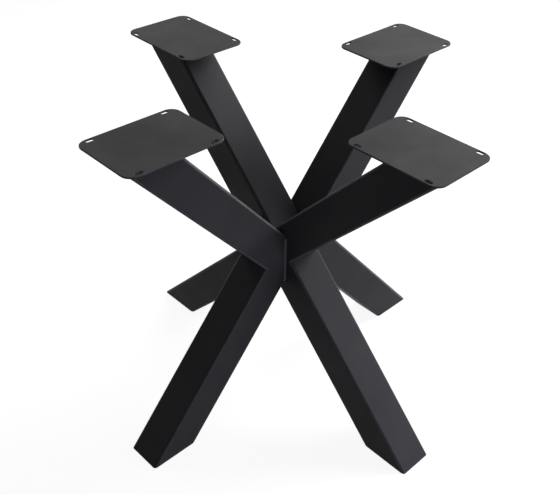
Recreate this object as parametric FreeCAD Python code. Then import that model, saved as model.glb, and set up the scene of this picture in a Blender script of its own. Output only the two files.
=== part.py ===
import FreeCAD, Part
import math
import os

# Table base of square steel tube: one flat X frame, and a V frame welded to each of its sides.
# The origin is on the floor under the crossing, with +Z up. The V frames lie in the XZ plane, front
# left along -X and back right along +X. The X frame lies in the YZ plane, front right along -Y and
# back left along +Y. All sizes are in millimetres.

# Overall
height = 720.0                 # floor to the upper face of the top plates
reach = 350.0                  # crossing axis to a limb's centre line, at the floor and under the top plates

# Square tube
tube_side = 80.0
tube_wall = 3.0
tube_bend = 3.0                # inside radius of the tube's four long edges

# Fillet welds, which hold the V frames on the sides of the X frame
weld_leg = 4.2                 # width on each of the two faces
weld_crown = 0.5               # how far the bead's face bulges at its middle

# Top plates
plate_length = 200.0           # along the arm
plate_width = 150.0            # across the arm
plate_thickness = 3.0
plate_corner = 20.0
plate_outset = 60.0            # arm's centre line to the plate's outer edge
plate_edge = 0.5               # bevel of the upper edge
slot_length = 16.0             # end to end, along the arm
slot_width = 8.0
slot_end_margin = 25.0         # slot's centre to the plate's short edge
slot_side_margin = 7.0         # slot's centre to the plate's long edge

# Foot plates, let into the legs flush with the floor
foot_thickness = 3.0

# Places that follow from the sizes
arm_top = height - plate_thickness
crossing = arm_top / 2         # height at which the limbs of a frame meet
x_side = tube_side / 2         # crossing axis to the sides of the X frame, where the V frames begin
tube_corner = tube_bend + tube_wall
span = 2 * (height + reach)    # longer than any limb

side_axis = FreeCAD.Vector(0, 1, 0)
up_axis = FreeCAD.Vector(0, 0, 1)


def bar(length, width, run, corner):
    """Bar of rounded rectangular section, standing on the XY plane with its middle on the Z axis."""
    block = Part.makeBox(length, width, run, FreeCAD.Vector(-length / 2, -width / 2, 0))
    uprights = [edge for edge in block.Edges if edge.BoundBox.ZLength > run / 2]
    return block.makeFillet(corner, uprights)


def space(r_low, r_high, z_low, z_high):
    """Block of the XZ plane that is wider than any tube."""
    corner = FreeCAD.Vector(r_low, -tube_side, z_low)
    return Part.makeBox(r_high - r_low, 2 * tube_side, z_high - z_low, corner)


def slope(inner):
    """Angle of a limb whose centre line meets the crossing's level this far out from the axis."""
    return math.atan2(crossing, reach - inner)


def leaning_bar(side, corner, inner, angle):
    """Square bar along a limb's centre line in the XZ plane, long past both of its ends."""
    lead = tube_side / math.tan(abs(angle))
    begin = FreeCAD.Vector(inner - lead * math.cos(angle), 0, crossing - lead * math.sin(angle))
    shape = bar(side, side, span, corner)
    shape.Placement = FreeCAD.Placement(begin, FreeCAD.Rotation(side_axis, 90 - math.degrees(angle)))
    return shape


def limbs(inner):
    """Arm, leg and foot plate on one side of a frame, cut level at their ends and mitred at the crossing.

    They end upright at the given distance from the axis: at the middle of the X frame, or at its side.
    """
    hollow_side = tube_side - 2 * tube_wall
    ends = {"arm": (slope(inner), crossing, arm_top), "leg": (-slope(inner), 0, crossing)}
    pieces = {}
    for name, (angle, low, high) in ends.items():
        hollow = leaning_bar(hollow_side, tube_bend, inner, angle)
        tube = leaning_bar(tube_side, tube_corner, inner, angle).cut(hollow)
        pieces[name] = tube.common(space(inner, span, low, high))
    leg_hollow = leaning_bar(hollow_side, tube_bend, inner, -slope(inner))
    pieces["foot_plate"] = leg_hollow.common(space(inner, span, 0, foot_thickness))
    return pieces


def weld(side):
    """Upright bead along the flat of a V frame's cut end, in the corner between it and the X frame."""
    flat = (tube_side - 2 * tube_corner) / math.cos(slope(x_side))
    root = FreeCAD.Vector(x_side, side * x_side, crossing - flat / 2)
    on_v = root + FreeCAD.Vector(weld_leg, 0, 0)
    on_x = root + FreeCAD.Vector(0, side * weld_leg, 0)
    outward = FreeCAD.Vector(1, side, 0).normalize()
    crown = (on_v + on_x) / 2 + outward * weld_crown
    face = Part.Arc(on_v, crown, on_x).toShape()
    outline = Part.Wire([Part.makeLine(root, on_v), face, Part.makeLine(on_x, root)])
    return Part.Face(outline).extrude(FreeCAD.Vector(0, 0, flat))


def slot(length, width, depth):
    """Round-ended bar, standing on the XY plane with its middle on the Z axis."""
    radius = width / 2
    end = length / 2 - radius
    ends = [Part.makeCylinder(radius, depth, FreeCAD.Vector(side * end, 0, 0)) for side in (-1, 1)]
    middle = Part.makeBox(2 * end, width, depth, FreeCAD.Vector(-end, -radius, 0))
    return middle.multiFuse(ends).removeSplitter()


def top_plate():
    """Thin plate on the arm's end, with a slot for a wood screw in each corner."""
    plate = bar(plate_length, plate_width, plate_thickness, plate_corner)
    rim = [edge for edge in plate.Edges if edge.BoundBox.ZMin > plate_thickness / 2]
    plate = plate.makeChamfer(plate_edge, rim)
    along = plate_length / 2 - slot_end_margin
    across = plate_width / 2 - slot_side_margin
    for x, y in ((along, across), (along, -across), (-along, across), (-along, -across)):
        cutter = slot(slot_length, slot_width, plate_thickness)
        cutter.translate(FreeCAD.Vector(x, y, 0))
        plate = plate.cut(cutter)
    plate.translate(FreeCAD.Vector(reach + plate_outset - plate_length / 2, 0, arm_top))
    return plate


def x_corner():
    """Pieces at one end of the X frame, whose limbs come to a point on the axis."""
    return {**limbs(0), "top_plate": top_plate()}


def v_corner():
    """Pieces of one V frame, with its welds to the side of the X frame."""
    return {**limbs(x_side), "top_plate": top_plate(), "weld_left": weld(1), "weld_right": weld(-1)}


# Each corner of the base and its direction about +Z, in degrees from +X
corners = (
    ("back_right", 0, v_corner),
    ("back_left", 90, x_corner),
    ("front_left", 180, v_corner),
    ("front_right", 270, x_corner),
)

os.makedirs("parts", exist_ok=True)
for corner_name, direction, corner_pieces in corners:
    for piece_name, shape in corner_pieces().items():
        shape.rotate(FreeCAD.Vector(), up_axis, direction)
        shape.exportStep(f"parts/{corner_name}_{piece_name}.step")
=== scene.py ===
import math

import bmesh
import bpy
from mathutils import Matrix, Vector


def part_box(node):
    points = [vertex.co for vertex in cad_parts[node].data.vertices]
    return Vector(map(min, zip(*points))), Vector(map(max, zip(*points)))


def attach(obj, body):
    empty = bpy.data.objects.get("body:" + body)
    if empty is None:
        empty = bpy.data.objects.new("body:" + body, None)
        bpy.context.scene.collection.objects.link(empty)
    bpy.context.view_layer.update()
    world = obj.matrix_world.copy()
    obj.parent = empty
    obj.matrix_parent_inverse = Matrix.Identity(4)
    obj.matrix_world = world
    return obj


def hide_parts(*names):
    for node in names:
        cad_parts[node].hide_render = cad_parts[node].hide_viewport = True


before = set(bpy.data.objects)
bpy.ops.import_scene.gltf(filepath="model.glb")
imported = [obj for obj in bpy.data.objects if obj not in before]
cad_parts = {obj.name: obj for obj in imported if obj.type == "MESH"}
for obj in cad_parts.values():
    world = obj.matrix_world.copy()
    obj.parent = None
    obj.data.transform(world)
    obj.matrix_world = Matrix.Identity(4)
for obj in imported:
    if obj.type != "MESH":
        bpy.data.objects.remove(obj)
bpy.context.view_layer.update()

# Table base of square steel tube in matt black powder coat, on a pale floor in a white room.
# Lengths are in metres and angles in degrees. The origin is on the floor under the crossing, with +Z up.
# The V frames lie in the XZ plane and the X frame in the YZ plane.

# Camera, which turns about a point near the crossing and looks along +Y at azimuth 0
image_width = 560                  # pixels
camera_azimuth = -47.062
camera_elevation = 36.468
camera_roll = 2.827
camera_distance = 1.7488
camera_aim_height = 0.3487
camera_aim_right = 0.0686          # how far the aim lies to the picture's right of the crossing's axis
focal_pixels = 821.59
sensor_width = 36.0                # millimetres
optical_centre_x = 318             # pixels from the picture's left edge

# Softboxes, which look at the crossing: azimuth from +X, elevation, distance, side, power in watts
# and colour
neutral = (1, 1, 1)
cool = (0.98, 0.97, 1.20)
softboxes = {
    "key": (-12, 30, 2.6, 1.3, 57.0, neutral),
    "upper": (12, 45, 2.6, 1.3, 30.0, neutral),
    "back": (90, 40, 2.6, 1.3, 9.5, neutral),
    "low": (-80, 3, 1.7, 0.8, 3.5, cool),
    "front": (-130, 5, 1.5, 0.7, 0.35, cool),
}

# Studio: a pale round floor in a white room
white = (1, 1, 1, 1)
floor_radius = 40.0
floor_sides = 96
floor_drop = 0.0005                # how far the floor lies below the feet, so that no two faces share a plane
floor_colour = (0.20, 0.20, 0.20, 1)
studio_glow = 0.92                 # how white floor and room look by themselves, apart from the light on them
fill_strength = 0.01               # the room's light on the object

# Powder coat: a darker and a lighter tone, the paler tone of its worn edges with their painted highlight, and
# how rough and glossy it is
# Tubes and plates carry one coat: the tubes' paler, bluer tones and the plates' darker ones paint the
# difference in light between them
tube_tones = (0.069, 0.068, 0.074, 1), (0.087, 0.086, 0.092, 1)
# Painted highlight along the tubes' rounded edges, with a paler worn coat there
edge_highlight_tone = (0.200, 0.199, 0.205, 1)
tube_roughness = (0.42, 0.56)
sheet_tones = (0.041, 0.041, 0.042, 1), (0.074, 0.074, 0.076, 1)
# Painted highlight on the plates' rims and slots, with a paler worn coat there
rim_highlight_tone = (0.190, 0.190, 0.195, 1)
sheet_roughness = (0.40, 0.54)
coat_gloss = 0.04                  # of tubes and sheet
# The beads' coat is paler than the tubes', which paints part of the highlight on their rounded faces
bead_tones = (0.090, 0.089, 0.094, 1), (0.112, 0.111, 0.116, 1)
bead_roughness = (0.34, 0.44)
bead_gloss = 0.18
edge_power = 3                     # the higher, the closer the painted highlight lines along a tube's edges lie to its sides

# Patterns in the coat: blotches in a metre, and levels of finer blotches in them
clouds_pattern = (9, 3)
speckle_pattern = (700, 2)
sheen_pattern = (14, 4)
wear_pattern = (60, 3)
peel_pattern = (240, 1)
grain_pattern = (1500, 2)
pattern_range = (0.3, 0.7)         # where nearly all values of a pattern lie
clouds_share = 0.7                 # of the way from the darker to the lighter tone
speckle_share = 0.3
least_wear = 0.5                   # least share of the paler edge tone (worn coat and painted highlight), between the worn patches
peel_relief = (0.15, 0.0004)       # strength and height
grain_relief = (0.25, 0.0001)

# Tubes and top plates, as the frame has them
tube_side = 0.080
tube_corner = 0.006
reach = 0.350                      # crossing axis to a limb's centre line under its top plate
arm_top = 0.717                    # underside of the top plates
crossing = arm_top / 2             # height at which the limbs of a frame meet
x_side = tube_side / 2             # crossing axis to where the V frames begin

# Each corner's direction about +Z, from +X
corners = {"back_right": 0, "back_left": 90, "front_left": 180, "front_right": 270}
v_frame_corners = ("back_right", "front_left")

# Weld beads
bead_crown = 0.0007                # how far a bead's face bulges at its middle
bead_sink = 0.0015                 # how deep its root lies in the steel
bead_overrun = 0.005               # how far an upright bead runs on past its solid, over the tube's corners
bead_tip = 0.06                    # square of the share of its width that an upright bead's ends keep
plate_bead_leg = 0.0035
ripple_pitch = 0.0034
ripple_height = 0.0003
ripple_steps = 6                   # rows of points in each ripple
bead_columns = 7                   # points across a bead's face


def add_object(name, data):
    """Object in the scene from its mesh, lamp or camera."""
    added = bpy.data.objects.new(name, data)
    bpy.context.scene.collection.objects.link(added)
    return added


def add_node(tree, kind, **settings):
    """Shader node of that kind with its properties set."""
    node = tree.nodes.new(kind)
    for key, value in settings.items():
        setattr(node, key, value)
    return node


def math_node(tree, operation, *values):
    """Output of a sum on sockets and plain numbers."""
    node = add_node(tree, "ShaderNodeMath", operation=operation)
    for socket, value in zip(node.inputs, values):
        if isinstance(value, (int, float)):
            socket.default_value = value
        else:
            tree.links.new(value, socket)
    return node.outputs["Value"]


def noise(tree, coordinates, scale, detail):
    """Noise texture in object coordinates: scale is the number of blotches in a metre."""
    node = add_node(tree, "ShaderNodeTexNoise")
    node.inputs["Scale"].default_value = scale
    node.inputs["Detail"].default_value = detail
    tree.links.new(coordinates.outputs["Object"], node.inputs["Vector"])
    return node.outputs["Fac"]


def spread(tree, value, low, high, source=pattern_range):
    """A value's range, which is a pattern's if none is given, spread from low to high."""
    node = add_node(tree, "ShaderNodeMapRange")
    source_low, source_high = source
    settings = {"From Min": source_low, "From Max": source_high, "To Min": low, "To Max": high}
    for name, number in settings.items():
        node.inputs[name].default_value = number
    tree.links.new(value, node.inputs["Value"])
    return node.outputs["Result"]


def mix(tree, factor, first, second):
    """Colour between two, each a socket or a plain colour."""
    node = add_node(tree, "ShaderNodeMix", data_type="RGBA")
    sockets = {s.name: s for s in node.inputs if s.type == "RGBA"}
    tree.links.new(factor, node.inputs["Factor"])
    for name, value in (("A", first), ("B", second)):
        if isinstance(value, tuple):
            sockets[name].default_value = value
        else:
            tree.links.new(value, sockets[name])
    return next(s for s in node.outputs if s.type == "RGBA")


def bump(tree, height, strength, distance, normal=None):
    """Normal with a relief laid over another relief."""
    node = add_node(tree, "ShaderNodeBump")
    node.inputs["Strength"].default_value = strength
    node.inputs["Distance"].default_value = distance
    tree.links.new(height, node.inputs["Height"])
    if normal is not None:
        tree.links.new(normal, node.inputs["Normal"])
    return node.outputs["Normal"]


def squared_normal(tree, coordinates, axis):
    """How squarely a face looks along an axis: one if it does, nought if it lies along it."""
    split = add_node(tree, "ShaderNodeSeparateXYZ")
    tree.links.new(coordinates.outputs["Normal"], split.inputs["Vector"])
    return math_node(tree, "MULTIPLY", split.outputs[axis], split.outputs[axis])


def edge_highlight_line(tree, coordinates, axis):
    """Painted highlight line, also taken as a worn coat, along the rounded edges of a tube whose sides look
    along that axis, where they leave the sides.

    It is one at its middle and nought on the tube's flat faces.
    """
    facing = squared_normal(tree, coordinates, axis)
    turned = math_node(tree, "SUBTRACT", 1, facing)
    line = math_node(tree, "MULTIPLY", math_node(tree, "POWER", facing, edge_power), turned)
    facing_at_peak = edge_power / (edge_power + 1)
    peak = facing_at_peak ** edge_power * (1 - facing_at_peak)
    return math_node(tree, "DIVIDE", line, peak)


def rim_highlight_mask(tree, coordinates, axis):
    """Mask for a painted highlight, also taken as a worn coat: one on the rim and in the slots of a sheet
    that lies across that axis, and nought on its two faces.
    """
    return math_node(tree, "SUBTRACT", 1, squared_normal(tree, coordinates, axis))


def powder_coat(name, tones, roughness, gloss, highlight_and_worn_coat=None):
    """Matt black powder coat: cloudy in tone and sheen, with a fine grain over a soft orange peel.

    Where it is worn and where a highlight is painted, which is given as a mask, its axis and a tone, it is
    paler.
    """
    material = bpy.data.materials.new(name)
    material.use_nodes = True
    tree = material.node_tree
    shader = tree.nodes["Principled BSDF"]
    shader.inputs["Specular IOR Level"].default_value = gloss
    coordinates = add_node(tree, "ShaderNodeTexCoord")

    clouds = spread(tree, noise(tree, coordinates, *clouds_pattern), 0, clouds_share)
    speckle = spread(tree, noise(tree, coordinates, *speckle_pattern), 0, speckle_share)
    colour = mix(tree, math_node(tree, "ADD", clouds, speckle), *tones)
    # Paler where the mask says: a worn coat and a painted highlight
    if highlight_and_worn_coat:
        mask, axis, tone = highlight_and_worn_coat
        patches = spread(tree, noise(tree, coordinates, *wear_pattern), least_wear, 1)
        highlight_and_worn_spots = math_node(tree, "MULTIPLY", mask(tree, coordinates, axis), patches)
        colour = mix(tree, highlight_and_worn_spots, colour, tone)
    tree.links.new(colour, shader.inputs["Base Color"])

    sheen = spread(tree, noise(tree, coordinates, *sheen_pattern), *roughness)
    tree.links.new(sheen, shader.inputs["Roughness"])

    peel = bump(tree, noise(tree, coordinates, *peel_pattern), *peel_relief)
    grain = bump(tree, noise(tree, coordinates, *grain_pattern), *grain_relief, peel)
    tree.links.new(grain, shader.inputs["Normal"])
    return material


def seen_directly(tree):
    """One for rays that the camera sees, straight, reflected or through glass, and nought for others."""
    path = add_node(tree, "ShaderNodeLightPath")
    either = math_node(tree, "MAXIMUM", path.outputs["Is Camera Ray"], path.outputs["Is Glossy Ray"])
    return math_node(tree, "MAXIMUM", either, path.outputs["Is Transmission Ray"])


def white_glow(tree, dim):
    """Strength that looks white where it is seen directly, and lights the object only dimly."""
    return spread(tree, seen_directly(tree), dim, studio_glow, (0, 1))


def make_world():
    """White room, which gives the object a dim fill."""
    world = bpy.data.worlds.new("room")
    bpy.context.scene.world = world
    world.use_nodes = True
    tree = world.node_tree
    background = tree.nodes["Background"]
    background.inputs["Color"].default_value = white
    tree.links.new(white_glow(tree, fill_strength), background.inputs["Strength"])


def make_floor():
    """Pale round floor, which looks white and keeps the object's soft shadow."""
    turns = [2 * math.pi * k / floor_sides for k in range(floor_sides)]
    rim = [(floor_radius * math.cos(t), floor_radius * math.sin(t), -floor_drop) for t in turns]
    mesh = bpy.data.meshes.new("floor")
    mesh.from_pydata(rim, [], [tuple(range(floor_sides))])
    floor = add_object("floor", mesh)

    material = bpy.data.materials.new("floor_white")
    material.use_nodes = True
    tree = material.node_tree
    shader = tree.nodes["Principled BSDF"]
    shader.inputs["Base Color"].default_value = floor_colour
    shader.inputs["Roughness"].default_value = 1
    shader.inputs["Specular IOR Level"].default_value = 0
    shader.inputs["Emission Color"].default_value = white
    tree.links.new(white_glow(tree, 0), shader.inputs["Emission Strength"])
    mesh.materials.append(material)


def make_softbox(name, azimuth, elevation, distance, side, power, colour):
    """Square softbox that looks at the crossing."""
    lamp = bpy.data.lights.new(name, "AREA")
    lamp.shape = "SQUARE"
    lamp.size = side
    lamp.energy = power
    lamp.color = colour
    softbox = add_object(name, lamp)
    turn, rise = math.radians(azimuth), math.radians(elevation)
    towards = Vector((math.cos(turn) * math.cos(rise), math.sin(turn) * math.cos(rise), math.sin(rise)))
    softbox.location = Vector((0, 0, crossing)) + towards * distance
    softbox.rotation_euler = towards.to_track_quat("Z", "Y").to_euler()
    softbox.visible_camera = False


def make_camera():
    """Camera at the photograph's angle."""
    azimuth, elevation, roll = (math.radians(a) for a in (camera_azimuth, camera_elevation, camera_roll))
    back = Vector((math.sin(azimuth) * math.cos(elevation), -math.cos(azimuth) * math.cos(elevation),
                   math.sin(elevation)))
    level_right = Vector((math.cos(azimuth), math.sin(azimuth), 0))
    level_up = back.cross(level_right)
    right = level_right * math.cos(roll) + level_up * math.sin(roll)
    up = back.cross(right)
    place = Vector((0, 0, camera_aim_height)) + right * camera_aim_right + back * camera_distance

    data = bpy.data.cameras.new("camera")
    data.sensor_width = sensor_width
    data.lens = focal_pixels / image_width * sensor_width
    data.shift_x = 0.5 - optical_centre_x / image_width
    camera = add_object("camera", data)
    turn = Matrix((right, up, back)).transposed().to_4x4()
    camera.matrix_world = Matrix.Translation(place) @ turn
    bpy.context.scene.camera = camera


def arch(across):
    """Curve across a bead: nought at its two toes and one at its middle."""
    return 4 * across * (1 - across)


def ripple(run, across):
    """Height of a bead's ripples: arcs that bow along the run, with a crease between each and the next."""
    bow = ripple_pitch * arch(across)
    return ripple_height * (abs(math.sin(math.pi * (run + bow) / ripple_pitch)) - 0.5)


def bead_face(first_toe, second_toe, outward, run, size=1):
    """Points across a bead's bulging face, from one toe to the other."""
    points = []
    for column in range(bead_columns):
        across = column / (bead_columns - 1)
        rise = arch(across) * (bead_crown + ripple(run, across)) * size
        points.append(first_toe.lerp(second_toe, across) + outward * rise)
    return points


def bead_object(name, rings, closed, coat):
    """Weld bead from its rings of points, joined end to end or capped."""
    count = len(rings[0])
    points = [point for ring in rings for point in ring]
    faces = []
    for row in range(len(rings) if closed else len(rings) - 1):
        here, there = row * count, (row + 1) % len(rings) * count
        for k in range(count):
            following = (k + 1) % count
            faces.append((here + k, here + following, there + following, there + k))
    if not closed:
        faces.append(tuple(range(count)))
        faces.append(tuple(reversed(range(len(points) - count, len(points)))))
    mesh = bpy.data.meshes.new(name)
    mesh.from_pydata(points, [], faces)
    shell = bmesh.new()
    shell.from_mesh(mesh)
    bmesh.ops.recalc_face_normals(shell, faces=shell.faces)
    shell.to_mesh(mesh)
    shell.free()
    mesh.shade_smooth()
    mesh.materials.append(coat)
    bead = add_object(name, mesh)
    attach(bead, "root")
    return bead


def upright_bead(node, coat):
    """Rippled bead in place of a weld's plain solid, in the corner between a V frame and the X frame."""
    low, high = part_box(node)
    along_v_frame = Vector((math.copysign(1, low.x + high.x), 0, 0))
    along_x_frame = Vector((0, math.copysign(1, low.y + high.y), 0))
    outward = (along_v_frame + along_x_frame).normalized()
    leg = high.x - low.x
    bottom, top = low.z - bead_overrun, high.z + bead_overrun
    rows = round((top - bottom) / ripple_pitch * ripple_steps)
    rings = []
    for row in range(rows + 1):
        z = bottom + (top - bottom) * row / rows
        from_end = min(z - bottom, top - z) / leg
        size = math.sqrt(max(1 - (1 - min(from_end, 1)) ** 2, bead_tip))
        root = (along_v_frame + along_x_frame) * x_side + Vector((0, 0, z))
        toe_v = root + along_v_frame * leg * size
        toe_x = root + along_x_frame * leg * size
        sunk_x = toe_x - along_v_frame * bead_sink
        sunk_root = root - outward * bead_sink
        sunk_v = toe_v - along_x_frame * bead_sink
        rings.append(bead_face(toe_v, toe_x, outward, z, size) + [sunk_x, sunk_root, sunk_v])
    bead = bead_object(f"{node}_bead", rings, closed=False, coat=coat)
    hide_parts(node)


def rounded_square(side, corner, step):
    """Points round a square with rounded corners, each with its outward direction."""
    flat = side / 2 - corner
    straight_count = round(2 * flat / step)
    bend_count = round(corner * math.pi / 2 / step)
    quarter = []
    for k in range(straight_count):
        quarter.append((Vector((side / 2, -flat + 2 * flat * k / straight_count)), Vector((1, 0))))
    for k in range(bend_count):
        angle = k / bend_count * math.pi / 2
        away = Vector((math.cos(angle), math.sin(angle)))
        quarter.append((Vector((flat, flat)) + away * corner, away))
    turns = [Matrix.Rotation(k * math.pi / 2, 2) for k in range(4)]
    return [(turn @ point, turn @ away) for turn in turns for point, away in quarter]


def plate_bead(corner, direction, inner, coat):
    """Rippled bead round the top of an arm, in the corner under its plate.

    The arm's centre line begins at the crossing's height, the inner distance away from the axis.
    """
    angle = math.atan2(arm_top - crossing, reach - inner)
    turn = Matrix.Rotation(math.radians(direction), 3, "Z")
    along_arm = turn @ Vector((math.cos(angle), 0, math.sin(angle)))
    up = Vector((0, 0, 1))
    step = ripple_pitch / ripple_steps
    rings = []
    for row, (point, away) in enumerate(rounded_square(tube_side, tube_corner, step)):
        place = turn @ Vector((reach + point.x / math.sin(angle), point.y, arm_top))
        outward = turn @ Vector((away.x * math.sin(angle), away.y, 0)).normalized()
        toe_plate = place + outward * plate_bead_leg
        toe_arm = place - along_arm * (plate_bead_leg / math.sin(angle))
        sunk_arm = toe_arm - outward * bead_sink
        sunk_root = place - outward * bead_sink + up * bead_sink
        sunk_plate = toe_plate + up * bead_sink
        face = bead_face(toe_plate, toe_arm, (outward - up).normalized(), row * step)
        rings.append(face + [sunk_arm, sunk_root, sunk_plate])
    bead_object(f"{corner}_plate_bead", rings, closed=True, coat=coat)


bead_coat = powder_coat("coat_on_beads", bead_tones, bead_roughness, bead_gloss)
# Paler rims and slots on the plates: a painted highlight with a worn coat
rim_highlight_and_worn_coat = (rim_highlight_mask, "Z", rim_highlight_tone)
sheet_coat = powder_coat("coat_on_sheet", sheet_tones, sheet_roughness, coat_gloss, rim_highlight_and_worn_coat)
tube_coats = {}
# Paler lines along the tubes' rounded edges: a painted highlight with a worn coat
for name, axis in (("x_frame", "X"), ("v_frames", "Y")):
    edge_highlight_and_worn_coat = (edge_highlight_line, axis, edge_highlight_tone)
    tube_coats[name] = powder_coat(f"coat_on_{name}", tube_tones, tube_roughness, coat_gloss, edge_highlight_and_worn_coat)
for name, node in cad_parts.items():
    if "plate" in name:
        coat = sheet_coat
    elif name.startswith(v_frame_corners):
        coat = tube_coats["v_frames"]
    else:
        coat = tube_coats["x_frame"]
    node.material_slots[0].material = coat
    if "weld" in name:
        upright_bead(name, bead_coat)
for corner, direction in corners.items():
    inner = x_side if corner in v_frame_corners else 0
    plate_bead(corner, direction, inner, bead_coat)

make_world()
make_floor()
for name, settings in softboxes.items():
    make_softbox(name, *settings)
make_camera()
bpy.context.scene.view_settings.view_transform = "Standard"
